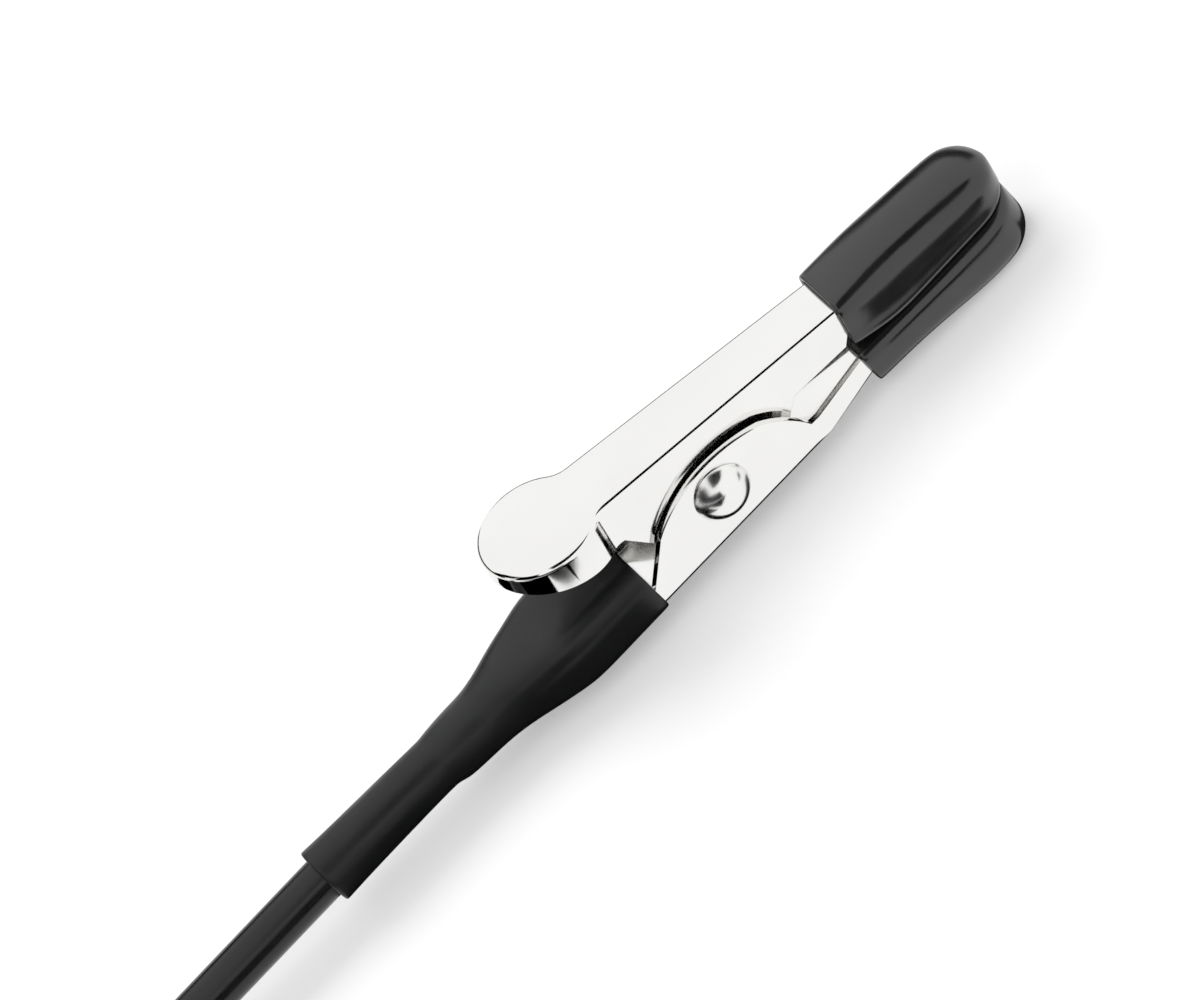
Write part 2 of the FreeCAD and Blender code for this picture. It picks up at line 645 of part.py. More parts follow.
def make_spring():
    """Torsion spring: a coil round the rivet, a leg under the roof on the far side and one on the tail."""
    wire, coil = size("wire_radius"), size("coil_radius")
    droop = math.radians(size("jaw_droop"))
    under_roof = size("roof") - size("sheet_gauge") - wire - size("slip_gap")
    reach = size("upper_leg_reach")
    upper_x = -reach * math.cos(droop) + under_roof * math.sin(droop)
    upper_z = reach * math.sin(droop) + under_roof * math.cos(droop)
    on_tail = size("sheet_gauge") + wire + size("slip_gap") - size("pivot_height")
    outward, turn, upper_length = tangent_leg(-upper_x, upper_z)
    upper_way = outward + turn
    outward, turn, lower_length = tangent_leg(size("lower_leg_reach"), on_tail)
    lower_way = outward - turn
    first = lower_way + math.pi / 2 - 2 * math.pi
    last = upper_way - math.pi / 2
    turns = size("coil_turns") + (last - first) / (2 * math.pi)
    length = turns * size("coil_pitch")

    helix = Part.makeHelix(size("coil_pitch"), length, coil)
    helix.Placement = Placement(Vector(0, length / 2, 0), Rotation(Vector(1, 0, 0), 90).multiply(
        Rotation(Vector(0, 0, 1), math.degrees(first))))
    ends = []
    for angle, side, heading, reach in (
            (first, length / 2, lower_way, lower_length), (last, -length / 2, upper_way, upper_length)):
        root = Vector(coil * math.cos(angle), side, coil * math.sin(angle))
        ends.append((root, root + Vector(math.cos(heading), 0, math.sin(heading)) * reach))
    (lower_root, lower_end), (upper_root, upper_end) = ends
    lower_leg = Part.makeLine(lower_end, lower_root)
    upper_leg = Part.makeLine(upper_root, upper_end)
    path = Part.Wire([lower_leg] + helix.Edges + [upper_leg])
    section = Part.Wire([Part.makeCircle(wire, lower_end, lower_root - lower_end)])
    piece = doc.addObject("Part::Feature", "torsion_spring")
    piece.Label = "torsion_spring"
    piece.Shape = path.makePipeShell([section], True, False).mirror(Vector(0, 0, 0), Vector(0, 1, 0))
    set_on_pivot(piece, droop=False)
    parts.append(piece)


def tube_skin(body, prefix, grow):
    """Sections of the heat-shrink from front to rear, each grown past what it covers."""
    jaw = f"dim.lower_width / 2 + dim.slip_gap + {grow}"
    base = f"-dim.slip_gap - {grow}"
    narrow = f"dim.arm_radius + dim.slip_gap * 2 + {grow}"
    ring = f"dim.arm_radius + dim.slip_gap + {grow}"
    top = f"dim.tube_top - dim.tube_wall + {grow}"
    arm_top = f"{ARM_HEIGHT} + dim.arm_radius + dim.slip_gap + {grow}"
    low_round = f"dim.tube_base_round - dim.tube_wall + {grow}"
    high_round = f"dim.tube_top_round - dim.tube_wall + {grow}"
    round_top = f"({narrow}) - {RING_FLAT}"
    round_low = f"(dim.tongue_tube_round - dim.tube_wall + {grow})"
    ring_round = f"({ring}) - {RING_FLAT}"
    flared = f"{ring} + dim.tube_flare"
    wide = (jaw, base, top, f"({low_round})", f"({high_round})")
    tapered = (narrow, base, arm_top, round_low, f"({round_top})")
    stepped = (ring, f"{ARM_HEIGHT} - ({ring})", f"{ARM_HEIGHT} + {ring}", f"({ring_round})", f"({ring_round})")
    end = (flared, f"{ARM_HEIGHT} - ({flared})", f"{ARM_HEIGHT} + {flared}",
           f"({flared} - {RING_FLAT})", f"({flared} - {RING_FLAT})")
    places = (
        ("0", wide),
        ("dim.tail_reach", wide),
        ("dim.tongue_start + dim.tube_slack", tapered),
        ("dim.tongue_end + dim.slip_gap * 2", tapered),
        ("dim.tube_step", stepped),
        ("dim.tube_reach", end),
    )
    return [ring_section(body, f"{prefix}_{index}", f"-({place})", *form)
            for index, (place, form) in enumerate(places)]


def make_shrink_tube():
    """Heat-shrink over the tail, the tongue and the front end of the arm."""
    body = new_body("shrink_tube")
    for prefix, grow, kind in (("outer", "dim.tube_wall", "AdditiveLoft"), ("inner", "0", "SubtractiveLoft")):
        loft(body, f"{prefix}_skin", tube_skin(body, prefix, grow), kind)
    set_in_clip(body)


def arm_route():
    """Corners of the arm's line from the sheath's front end to its rear end in the cap."""
    clip_height = size("belly") + value(ARM_HEIGHT)
    front = Vector(value(CLIP_X) - size("sheath_start"), 0, clip_height)
    rear = Vector(size("foot_radius") - size("sheath_entry"), 0, size("arm_axis"))
    first, middle, last = [Vector(x, y, z or 0) for x, y, z in ARM_CORNERS]
    first.z = front.z
    last.z = rear.z
    return [front, first, middle, last, rear]


def arm_path(ahead, behind):
    """Straight runs joined by tangent arcs, with both ends lengthened, and its arcs' radii."""
    route = arm_route()
    edges, radii = [], []
    start = route[0] + (route[0] - route[1]).normalize() * ahead
    for before, corner, after in zip(route, route[1:], route[2:]):
        into, out = (corner - before), (after - corner)
        shorter = min(into.Length, out.Length)
        half_turn = into.getAngle(out) / 2
        cut = ARC_SHARE * shorter
        radius = cut / math.tan(half_turn)
        into.normalize()
        out.normalize()
        entry, leave = corner - into * cut, corner + out * cut
        inward = (out - into).normalize()
        middle = corner + inward * (radius / math.cos(half_turn) - radius)
        edges.append(Part.LineSegment(start, entry).toShape())
        edges.append(Part.Arc(entry, middle, leave).toShape())
        radii.append(radius)
        start = leave
    end = route[-1] + (route[-1] - route[-2]).normalize() * behind
    edges.append(Part.LineSegment(start, end).toShape())
    return Part.Wire(edges), radii


def arm_solid(name, path_object, radius):
    """Round bar of one radius along the arm's line."""
    path = path_object.Shape
    first = path.Edges[0]
    start = first.valueAt(first.FirstParameter)
    way = first.tangentAt(first.FirstParameter)
    section = doc.addObject("Part::Circle", f"{name}_section")
    section.setExpression("Radius", radius)
    section.Placement = Placement(start, Rotation(Vector(0, 0, 1), way))
    sweep = doc.addObject("Part::Sweep", name)
    sweep.Sections = [section]
    sweep.Spine = (path_object, [f"Edge{index + 1}" for index in range(len(path.Edges))])
    sweep.Solid = True
    doc.recompute()
    straight = math.pi * value(radius) ** 2 * path.Length
    if abs(sweep.Shape.Volume / straight - 1) > 0.01:
        raise RuntimeError(f"{name}: {sweep.Shape.Volume:.1f} mm3 where {straight:.1f} was due")
    return sweep


def arm_line(name, ahead, behind):
    """Document object that holds the arm's line."""
    line = doc.addObject("Part::Feature", name)
    line.Shape, radii = arm_path(ahead, behind)
    print(name, "length", round(line.Shape.Length, 1), "radii", [round(radius) for radius in radii])
    return line


def make_arm():
    """Sheath and bendable core. The core stands out of the sheath at both ends."""
    sheath_line = arm_line("sheath_line", 0, 0)
    skin = arm_solid("sheath_bar", sheath_line, "dim.arm_radius")
    bore = arm_solid("sheath_bore", sheath_line, "dim.core_radius + dim.seat_gap")
    sheath = doc.addObject("Part::Cut", "arm_sheath")
    sheath.Label = "arm_sheath"
    sheath.Base = skin
    sheath.Tool = bore
    parts.append(sheath)
    ahead = size("sheath_start") - size("core_start")
    behind = size("foot_radius") - size("sheath_entry") - size("core_end")
    core = arm_solid("arm_core", arm_line("core_line", ahead, behind), "dim.core_radius")
    core.Label = "arm_core"
    parts.append(core)


def make_ferrule():
    """Crimped tube on the bare front end of the core."""
    shapes = []
    for name, radius in (("ferrule_skin", "dim.arm_radius"), ("ferrule_bore", "dim.core_radius + dim.seat_gap")):
        bar = doc.addObject("Part::Cylinder", name)
        bar.setExpression("Radius", radius)
        bar.setExpression("Height", "dim.ferrule_length")
        bar.Placement.Rotation = Rotation(Vector(0, 1, 0), 90)
        bar.setExpression("Placement.Base.x", f"{CLIP_X} - dim.sheath_start + dim.seat_gap")
        bar.setExpression("Placement.Base.z", f"dim.belly + {ARM_HEIGHT}")
        shapes.append(bar)
    ferrule = doc.addObject("Part::Cut", "arm_end_ferrule")
    ferrule.Label = "arm_end_ferrule"
    ferrule.Base, ferrule.Tool = shapes
    parts.append(ferrule)


def make_cup():
    """Steel pot, open downwards, with a hole for the screw."""
    body = new_body("foot_cup")
    roof = "dim.cup_height - dim.cup_roof"
    profile = new_sketch(body, "profile", "XZ_Plane")
    outline(profile, [
        ("dim.foot_radius - dim.cup_wall", "0"),
        ("dim.foot_radius", "0"),
        ("dim.foot_radius", "dim.cup_height"),
        ("dim.screw_radius + dim.slip_gap", "dim.cup_height"),
        ("dim.screw_radius + dim.slip_gap", roof),
        ("dim.foot_radius - dim.cup_wall", roof),
    ])
    revolve(body, "pot", profile)
    fillet(body, "rim", lambda middle, along, edge: abs(middle.z) < 1e-4
           and abs(Vector(middle.x, middle.y, 0).Length - size("foot_radius")) < 0.01, "dim.cup_rim_round")


def make_magnet():
    """Ring magnet with a countersunk hole, just behind the pot's rim."""
    body = new_body("foot_magnet")
    face = "dim.magnet_recess"
    back = "dim.cup_height - dim.cup_roof - dim.seat_gap"
    radius = "dim.foot_radius - dim.cup_wall - dim.magnet_gap"
    hole = "dim.screw_radius + dim.slip_gap"
    sink = "dim.screw_head_radius + dim.slip_gap"
    profile = new_sketch(body, "profile", "XZ_Plane")
    outline(profile, [
        (sink, face),
        (radius, face),
        (radius, back),
        (hole, back),
        (hole, f"{face} + ({sink}) - ({hole})"),
    ])
    revolve(body, "ring", profile)


def hexagon_socket(body, name, height, reverse):
    """Hexagon socket in the end of a screw."""
    sketch = new_sketch(body, name, "XY_Plane", height)
    corners = []
    for step in range(6):
        corners.append((f"dim.socket_radius * cos({60 * step}deg)", f"dim.socket_radius * sin({60 * step}deg)"))
    outline(sketch, corners)
    pocket(body, f"{name}_cut", sketch, "dim.socket_depth", reverse=reverse)


def make_foot_screw():
    """Countersunk screw from the magnetic face up into the cap."""
    body = new_body("foot_screw")
    face = "dim.magnet_recess + dim.seat_gap"
    taper = "dim.screw_head_radius - dim.screw_radius"
    profile = new_sketch(body, "profile", "XZ_Plane")
    outline(profile, [
        ("0", face),
        ("dim.screw_head_radius", face),
        ("dim.screw_radius", f"{face} + {taper}"),
        ("dim.screw_radius", "dim.screw_reach - dim.screw_chamfer"),
        ("dim.screw_radius - dim.screw_chamfer", "dim.screw_reach"),
        ("0", "dim.screw_reach"),
    ])
    revolve(body, "screw", profile)
    hexagon_socket(body, "socket", face, reverse=True)


def make_cap():
    """Turned cap with a side hole for the arm and a tapped hole for the grub screw."""
    body = new_body("foot_cap")
    low = "dim.cup_height + dim.seat_gap"
    high = "dim.cup_height + dim.cap_height"
    profile = new_sketch(body, "profile", "XZ_Plane")
    outline(profile, [("0", low), ("dim.foot_radius", low), ("dim.foot_radius", high), ("0", high)])
    revolve(body, "turned", profile)
    fillet(body, "top_edge", lambda middle, along, edge: abs(middle.z - value(high)) < 1e-4
           and edge.Length > size("foot_radius"), "dim.cap_round")
    socket = new_sketch(body, "sheath_hole", "YZ_Plane", "dim.foot_radius - dim.sheath_entry - dim.seat_gap")
    circle(socket, "0", "dim.arm_axis", "dim.arm_radius + dim.slip_gap")
    pocket(body, "sheath_bore", socket, "dim.foot_radius", reverse=True)
    narrow = new_sketch(body, "core_hole", "YZ_Plane", "dim.core_end - dim.slip_gap")
    circle(narrow, "0", "dim.arm_axis", "dim.core_radius + dim.slip_gap")
    pocket(body, "core_bore", narrow, "dim.foot_radius", reverse=True)
    tapped = new_sketch(body, "grub_hole", "XY_Plane", "dim.arm_axis")
    circle(tapped, "dim.grub_place", "0", "dim.screw_radius + dim.seat_gap")
    pocket(body, "grub_bore", tapped, "dim.foot_radius", reverse=True)
    below = new_sketch(body, "screw_hole", "XY_Plane", "dim.screw_reach + dim.slip_gap")
    circle(below, "0", "0", "dim.screw_radius + dim.seat_gap")
    pocket(body, "screw_bore", below, "dim.foot_radius")


def make_grub_screw():
    """Grub screw that presses on the core."""
    body = new_body("foot_grub_screw")
    low = "dim.arm_axis + dim.core_radius + dim.seat_gap"
    high = "dim.cup_height + dim.cap_height - dim.grub_recess"
    profile = new_sketch(body, "profile", "XZ_Plane")
    outline(profile, [
        ("0", low),
        ("dim.screw_radius - dim.grub_point", low),
        ("dim.screw_radius", f"{low} + dim.grub_point"),
        ("dim.screw_radius", high),
        ("0", high),
    ])
    revolve(body, "screw", profile)
    hexagon_socket(body, "socket", high, reverse=False)
    body.setExpression("Placement.Base.x", "dim.grub_place")


def check_and_write():
    """Test every object of the document, then write one file for each piece."""
    doc.recompute()
    for item in doc.Objects:
        if "Invalid" in item.State or "Error" in item.State:
            raise RuntimeError(f"{item.Label} is {item.State}")
    os.makedirs("parts", exist_ok=True)
    for piece in parts:
        shape = piece.Shape
        if shape.isNull() or not shape.isValid() or len(shape.Solids) != 1:
            raise RuntimeError(f"{piece.Label} isn't one sound solid")
        print(piece.Label, "volume", round(shape.Volume, 2), "faces", len(shape.Faces))
        shape.exportStep(f"parts/{piece.Label}.step")


make_lower_jaw()
make_upper_jaw()
make_upper_sleeve()
make_lower_sleeve()
make_rivet()
make_spring()
make_shrink_tube()
make_arm()
make_ferrule()
make_cup()
make_magnet()
make_foot_screw()
make_cap()
make_grub_screw()
check_and_write()
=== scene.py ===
import json
import math

import bmesh
import bpy
from bpy.props import FloatProperty, FloatVectorProperty, PointerProperty
from mathutils import Matrix, Vector

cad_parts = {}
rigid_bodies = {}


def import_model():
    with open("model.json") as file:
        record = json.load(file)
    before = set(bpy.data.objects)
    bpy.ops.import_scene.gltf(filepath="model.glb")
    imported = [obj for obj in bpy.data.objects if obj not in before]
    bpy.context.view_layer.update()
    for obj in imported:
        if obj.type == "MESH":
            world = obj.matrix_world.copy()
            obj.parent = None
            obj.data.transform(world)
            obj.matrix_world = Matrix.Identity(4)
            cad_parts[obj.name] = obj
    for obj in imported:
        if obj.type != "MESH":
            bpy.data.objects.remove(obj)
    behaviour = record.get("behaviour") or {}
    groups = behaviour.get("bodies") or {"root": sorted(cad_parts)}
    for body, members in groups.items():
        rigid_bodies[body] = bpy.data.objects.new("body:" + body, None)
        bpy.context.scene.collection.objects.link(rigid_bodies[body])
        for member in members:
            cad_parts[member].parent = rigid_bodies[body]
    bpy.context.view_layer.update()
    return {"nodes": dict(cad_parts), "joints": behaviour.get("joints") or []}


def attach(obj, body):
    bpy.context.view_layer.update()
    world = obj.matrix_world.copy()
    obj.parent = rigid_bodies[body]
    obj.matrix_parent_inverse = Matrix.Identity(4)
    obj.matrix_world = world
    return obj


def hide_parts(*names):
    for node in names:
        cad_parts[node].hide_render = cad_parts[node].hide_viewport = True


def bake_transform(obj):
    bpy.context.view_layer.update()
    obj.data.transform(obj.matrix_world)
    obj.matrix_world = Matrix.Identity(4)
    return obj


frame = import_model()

bl_info = {
    "name": "Magnetic crocodile clip",
    "version": (1, 0, 0),
    "blender": (4, 5, 0),
    "location": "3D View > Sidebar > Clip",
    "description": "Dresses the packed crocodile clip with its sleeves, heat-shrink, spring, arm and finishes",
    "category": "Object",
}

# Pieces are modelled in millimetres in the clip's own frame, whose origin is on the lower jaw's underside below
# the heat-shrink's front edge. settle() brings them into the part's frame in metres.
HINGE = frame["joints"][0]
LOWER_BODY, UPPER_BODY = HINGE["parent"], HINGE["child"]
PIVOT = Vector(HINGE["pos_m"])
CLIP_ORIGIN = PIVOT - Vector((0.009, 0.0, 0.0043))
JAW_DROOP = math.radians(10)
MOUTH_HEIGHT = -1.35

# Arm's route from inside the heat-shrink to inside the foot's cap.
ARM_ROUTE = [
    (0.1706, 0.0, 0.00448),
    (0.129, 0.0, 0.00448),
    (0.082, 0.002, 0.0009),
    (0.034, 0.0, 0.0076),
    (0.0068, 0.0, 0.0076),
]

# Black cards round the clip, by their reach in degrees: to the right of straight behind it, and above the floor.
CARD_DISTANCE = 0.3
CARD_STEPS = 8
CARDS = [
    ("card_behind_left", (-80, -9), (2, 22)),
    ("card_far_left", (-94, -58), (22, 52)),
    ("card_behind_right", (3, 60), (2, 23)),
    ("card_over_camera", (104, 200), (41, 86)),
    ("card_low_left", (186, 226), (0, 22)),
    ("card_left", (226, 264), (0, 48)),
]

# Painted shadow of the clip on the floor under it and before its tip, and a dark patch on the floor at its front
# left for a painted dark reflection, as corners in millimetres in the clip's frame. Like the cards, only mirrors
# see them, just above the floor.
SHADE_HEIGHT = 0.00005
SHADES = {
    "shade_under_clip": [
        (-34, 13), (-34, -19), (-18.5, -18.5), (-13.8, -13.6), (-12.5, -13), (-0.8, -13), (-0.8, -5.6),
        (17, -5.6), (18, -3.3), (42, -3.2), (42, 6), (-12, 6), (-15, 12),
    ],
    "shade_before_tip": [(26.2, -8.2), (26.2, -14), (42, -14), (44, -8.6)],
    "dark_patch_front_left": [(-90, -18), (-90, -250), (12, -250), (1, -18)],
}

# Floor's size and middle in metres, and its glow to the camera, which brings it up to the white of the surround.
FLOOR_SIZE = 6.0
FLOOR_MIDDLE = (0.15, 0.0, -0.0001)
FLOOR_LIFT = 0.33

# Surround's strength as a light, and as the camera and the mirrors see it.
SURROUND_LIGHT = 0.55
SURROUND_SEEN = 1.0

# Camera's angles in degrees, its lens and sensor in millimetres, and its aim and the width it shows in metres.
CAMERA_ROLL = 46
CAMERA_TILT = 45
CAMERA_LENS = 300.0
CAMERA_SENSOR = 36.0
CAMERA_AIM = (0.00196, 0.0035, 0.00598)
CAMERA_WIDTH = 0.0921

# Lamps, by their direction from the clip, their distance and width in metres, and their power in watts.
LAMP_AIM = (0.0024, 0.0, 0.002)
LAMPS = [
    ("key_lamp", (-0.12, 0.62, 0.80), 0.6, 0.50, 1.3),
    ("fill_lamp", (-0.5, -0.35, 0.8), 0.8, 0.6, 0.6),
]

# Rivet from its formed head to its domed one, as places along it and radii, in millimetres from its middle.
RIVET = [
    (-4.75, 0.5), (-4.68, 1.1), (-4.45, 1.65), (-4.15, 2.0), (-3.92, 2.12), (-3.82, 2.12), (-3.82, 1.1),
    (3.82, 1.1), (3.82, 2.43), (3.88, 2.48), (3.96, 2.46), (4.26, 2.28), (4.56, 2.05), (4.83, 1.78),
    (5.06, 1.48), (5.25, 1.15), (5.38, 0.79), (5.46, 0.42), (5.49, 0.14),
]

# Edges of a section longer than this, in millimetres, are divided so that it can be rounded.
LONG_EDGE = 1.0

# Points this near along or across a section, in millimetres, lie at the same place.
SAME_PLACE = 1e-4
SAME_ACROSS = 0.002

# How squarely an end face looks along the X axis, and the least area of one in square millimetres.
END_SQUARENESS = 0.999
END_AREA = 4.0

# Places of the sections round a sleeve's nose, in degrees from its full width to its tip.
NOSE_ANGLES = (20, 38, 54, 68, 80, 87)


class CLIP_PG_finishes(bpy.types.PropertyGroup):
    """Colours and gloss of the clip's surfaces."""

    plating: FloatVectorProperty(
        name="Plating", description="Bright nickel plating of the jaws and rivet",
        subtype="COLOR", size=3, default=(0.91, 0.905, 0.89))
    plating_roughness: FloatProperty(
        name="Plating roughness", description="How dull the plating is", subtype="FACTOR", default=0.09)
    vinyl: FloatVectorProperty(
        name="Vinyl", description="Soft vinyl of the two jaw sleeves",
        subtype="COLOR", size=3, default=(0.0105, 0.0101, 0.0098))
    shrink: FloatVectorProperty(
        name="Heat-shrink", description="Heat-shrink over the tail and the arm's end",
        subtype="COLOR", size=3, default=(0.0085, 0.0088, 0.009))
    sheath: FloatVectorProperty(
        name="Arm sheath", description="Smooth sheath of the bendable arm",
        subtype="COLOR", size=3, default=(0.0055, 0.0045, 0.0045))
    anodising: FloatVectorProperty(
        name="Anodising", description="Black anodised cap of the foot",
        subtype="COLOR", size=3, default=(0.035, 0.035, 0.038))
    steel: FloatVectorProperty(
        name="Steel", description="Bare and plated steel of the foot and spring",
        subtype="COLOR", size=3, default=(0.56, 0.55, 0.53))


class CLIP_PG_sizes(bpy.types.PropertyGroup):
    """Sizes of the soft pieces, in metres."""

    arm_diameter: FloatProperty(
        name="Arm diameter", description="Outside diameter of the arm's sheath",
        unit="LENGTH", precision=5, default=0.00372)
    sleeve_wall: FloatProperty(
        name="Sleeve wall", description="Wall of the soft jaw sleeves",
        unit="LENGTH", precision=5, default=0.0006)
    shrink_wall: FloatProperty(
        name="Heat-shrink wall", description="Wall of the heat-shrink",
        unit="LENGTH", precision=5, default=0.0005)


def clean_slate():
    """Object mode with nothing selected."""
    if bpy.context.mode != "OBJECT":
        bpy.ops.object.mode_set(mode="OBJECT")
    bpy.ops.object.select_all(action="DESELECT")


def pick(piece):
    """Object mode with one piece selected and active."""
    clean_slate()
    piece.select_set(True)
    bpy.context.view_layer.objects.active = piece


def named(name):
    """Name the new active object and its data."""
    piece = bpy.context.object
    piece.name = name
    piece.data.name = name
    return piece


def choose(kind, test):
    """Select what passes the test on the mesh being edited."""
    mesh = bpy.context.edit_object.data
    bpy.ops.mesh.select_mode(type=kind)
    bpy.ops.mesh.select_all(action="DESELECT")
    form = bmesh.from_edit_mesh(mesh)
    items = {"VERT": form.verts, "EDGE": form.edges, "FACE": form.faces}[kind]
    found = [item for item in items if test(item)]
    for item in found:
        item.select_set(True)
    bmesh.update_edit_mesh(mesh)
    if not found:
        raise RuntimeError("nothing on the mesh passes the test")


def open_ends():
    """Delete the flat faces that close the ends of a drawn-out section."""
    choose("FACE", lambda face: abs(face.normal.x) > END_SQUARENESS and face.calc_area() > END_AREA)
    bpy.ops.mesh.delete(type="ONLY_FACE")


def settle(piece, placing):
    """Bring a finished mesh from its own millimetres into the part's frame."""
    pick(piece)
    piece.matrix_world = placing @ Matrix.Scale(0.001, 4)
    bpy.ops.object.transform_apply(location=True, rotation=True, scale=True)


def in_clip():
    """Placing of what is drawn in the clip's frame."""
    return Matrix.Translation(CLIP_ORIGIN)


def on_pivot():
    """Placing of what is drawn along the drooping upper jaw, from the rivet."""
    return Matrix.Translation(PIVOT) @ Matrix.Rotation(JAW_DROOP, 4, "Y")


def begin_section(name, place, half, low, high, low_round, high_round, crown=0.0, lip=0.0):
    """Rounded section across the X axis, as one face, left in edit mode. Its top may be arched, its foot flared."""
    high -= crown
    clean_slate()
    bpy.ops.mesh.primitive_plane_add(size=1.0, rotation=(0.0, math.radians(90), 0.0))
    piece = named(name)
    bpy.ops.object.transform_apply(location=False, rotation=True, scale=False)
    bpy.ops.object.mode_set(mode="EDIT")
    bpy.ops.mesh.select_all(action="SELECT")
    middle = (low + high) / 2
    bpy.ops.transform.resize(value=(1.0, 2 * half, high - low), center_override=(0.0, 0.0, 0.0))
    bpy.ops.transform.translate(value=(place, 0.0, middle))
    for above, radius in ((False, low_round), (True, high_round)):
        choose("VERT", lambda vert: (vert.co.z > middle) == above)
        bpy.ops.mesh.bevel(offset_type="OFFSET", offset=radius, segments=4, affect="VERTICES", clamp_overlap=False)
    choose("EDGE", lambda edge: edge.calc_length() > LONG_EDGE)
    bpy.ops.mesh.subdivide(number_cuts=3)
    if crown:
        arch(place, half, middle, crown)
    if lip:
        choose("VERT", lambda vert: vert.co.z < low + low_round * 1.05)
        bpy.ops.transform.resize(value=(1.0, 1 + lip / half, 1.0), center_override=(0.0, 0.0, 0.0))
    bpy.ops.mesh.select_mode(type="FACE")
    bpy.ops.mesh.select_all(action="SELECT")
    return piece


def arch(place, half, middle, rise):
    """Raise the top of the section at a place, most of all in its middle."""
    def on_top(vert):
        return vert.co.z > middle and abs(vert.co.x - place) < SAME_PLACE

    form = bmesh.from_edit_mesh(bpy.context.edit_object.data)
    for across in sorted({round(abs(vert.co.y), 3) for vert in form.verts if on_top(vert)}):
        choose("VERT", lambda vert: on_top(vert) and abs(abs(vert.co.y) - across) < SAME_ACROSS)
        bpy.ops.transform.translate(value=(0.0, 0.0, rise * (1 - min(across / half, 1) ** 2)))


def extrude_through(start, stations, arches=None):
    """Draw the selected section out through more sections. Each is a place, half width, low, high and roundness.

    Arches give the rise of the top at some of the places.
    """
    arches = arches or {}
    x, half, low, high = start
    for place, new_half, new_low, new_high, roundness in stations:
        middle, new_middle = (low + high) / 2, (new_low + new_high) / 2
        move = (place - x, 0.0, new_middle - middle)
        bpy.ops.mesh.extrude_region_move(TRANSFORM_OT_translate={"value": move})
        centre = (place, 0.0, new_middle)
        if roundness:
            bpy.ops.transform.resize(value=(1.0, 1.0, half * 2 / (high - low)), center_override=centre)
            bpy.ops.transform.tosphere(value=roundness, center_override=centre)
            fit_section(new_half, new_low, new_high, centre)
        else:
            scale = (1.0, new_half / half, (new_high - new_low) / (high - low))
            bpy.ops.transform.resize(value=scale, center_override=centre)
        if place in arches:
            arch(place, new_half, new_middle, arches[place])
            new_high += arches[place]
            choose("FACE", lambda face: all(abs(vert.co.x - place) < SAME_PLACE for vert in face.verts))
        x, half, low, high = place, new_half, new_low, new_high


def draw_round(name, stations):
    """Round piece drawn out along the Z axis through its places and radii."""
    clean_slate()
    place, radius = stations[0]
    bpy.ops.mesh.primitive_circle_add(vertices=64, radius=radius, fill_type="NGON", location=(0.0, 0.0, place))
    piece = named(name)
    bpy.ops.object.transform_apply(location=True, rotation=False, scale=False)
    bpy.ops.object.mode_set(mode="EDIT")
    bpy.ops.mesh.select_mode(type="FACE")
    bpy.ops.mesh.select_all(action="SELECT")
    for new_place, new_radius in stations[1:]:
        move = (0.0, 0.0, new_place - place)
        bpy.ops.mesh.extrude_region_move(TRANSFORM_OT_translate={"value": move})
        scale = new_radius / radius
        bpy.ops.transform.resize(value=(scale, scale, 1.0), center_override=(0.0, 0.0, new_place))
        place, radius = new_place, new_radius
    outward(piece)
    return piece


def fit_section(half, low, high, centre):
    """Scale the selected section to its width and height."""
    form = bmesh.from_edit_mesh(bpy.context.edit_object.data)
    chosen = [vert.co for vert in form.verts if vert.select]
    wide = max(co.y for co in chosen) - min(co.y for co in chosen)
    tall = max(co.z for co in chosen) - min(co.z for co in chosen)
    bpy.ops.transform.resize(value=(1.0, 2 * half / wide, (high - low) / tall), center_override=centre)


def round_nose(full, tip, low_at, high, low_round, high_round):
    """Sections of a round nose from its full width to its tip."""
    start = tip - full
    sections = []
    for angle in NOSE_ANGLES:
        share = math.cos(math.radians(angle))
        place = start + full * math.sin(math.radians(angle))
        low = low_at(place) + low_round * (1 - share)
        sections.append((place, full * share, low, high - high_round * (1 - share), 0))
    return sections


def outward(piece):
    """Point the faces outwards."""
    bpy.ops.object.mode_set(mode="EDIT")
    bpy.ops.mesh.select_all(action="SELECT")
    bpy.ops.mesh.normals_make_consistent(inside=False)
    bpy.ops.object.mode_set(mode="OBJECT")


def smooth(piece, angle=None):
    """Shade smooth, all over or up to an angle."""
    pick(piece)
    if angle is None:
        bpy.ops.object.shade_smooth()
    else:
        bpy.ops.object.shade_smooth_by_angle(angle=math.radians(angle))


def smooth_copy(node, name, edge):
    """Copy of a solid's mesh with its points merged, its edges slightly broken and its curves shaded smooth."""
    source = frame["nodes"][node]
    piece = bpy.data.objects.new(name, source.data.copy())
    piece.data.name = name
    bpy.context.scene.collection.objects.link(piece)
    pick(piece)
    bpy.ops.object.mode_set(mode="EDIT")
    bpy.ops.mesh.select_all(action="SELECT")
    bpy.ops.mesh.customdata_custom_splitnormals_clear()
    bpy.ops.mesh.remove_doubles(threshold=1e-7)
    bpy.ops.mesh.dissolve_limited(angle_limit=math.radians(0.5))
    bpy.ops.object.mode_set(mode="OBJECT")
    if edge:
        use(piece, "BEVEL", width=edge, segments=2, limit_method="ANGLE", angle_limit=math.radians(35),
            use_clamp_overlap=True)
        apply_all(piece)
    smooth(piece, 32)
    use(piece, "WEIGHTED_NORMAL", mode="FACE_AREA", weight=100, keep_sharp=True)
    apply_all(piece)
    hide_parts(node)
    return piece


def use(piece, kind, **settings):
    """Add a modifier with its settings."""
    modifier = piece.modifiers.new(kind.lower(), kind)
    for name, value in settings.items():
        setattr(modifier, name, value)


def apply_all(piece):
    """Apply the modifiers in their order."""
    pick(piece)
    for modifier in list(piece.modifiers):
        bpy.ops.object.modifier_apply(modifier=modifier.name)


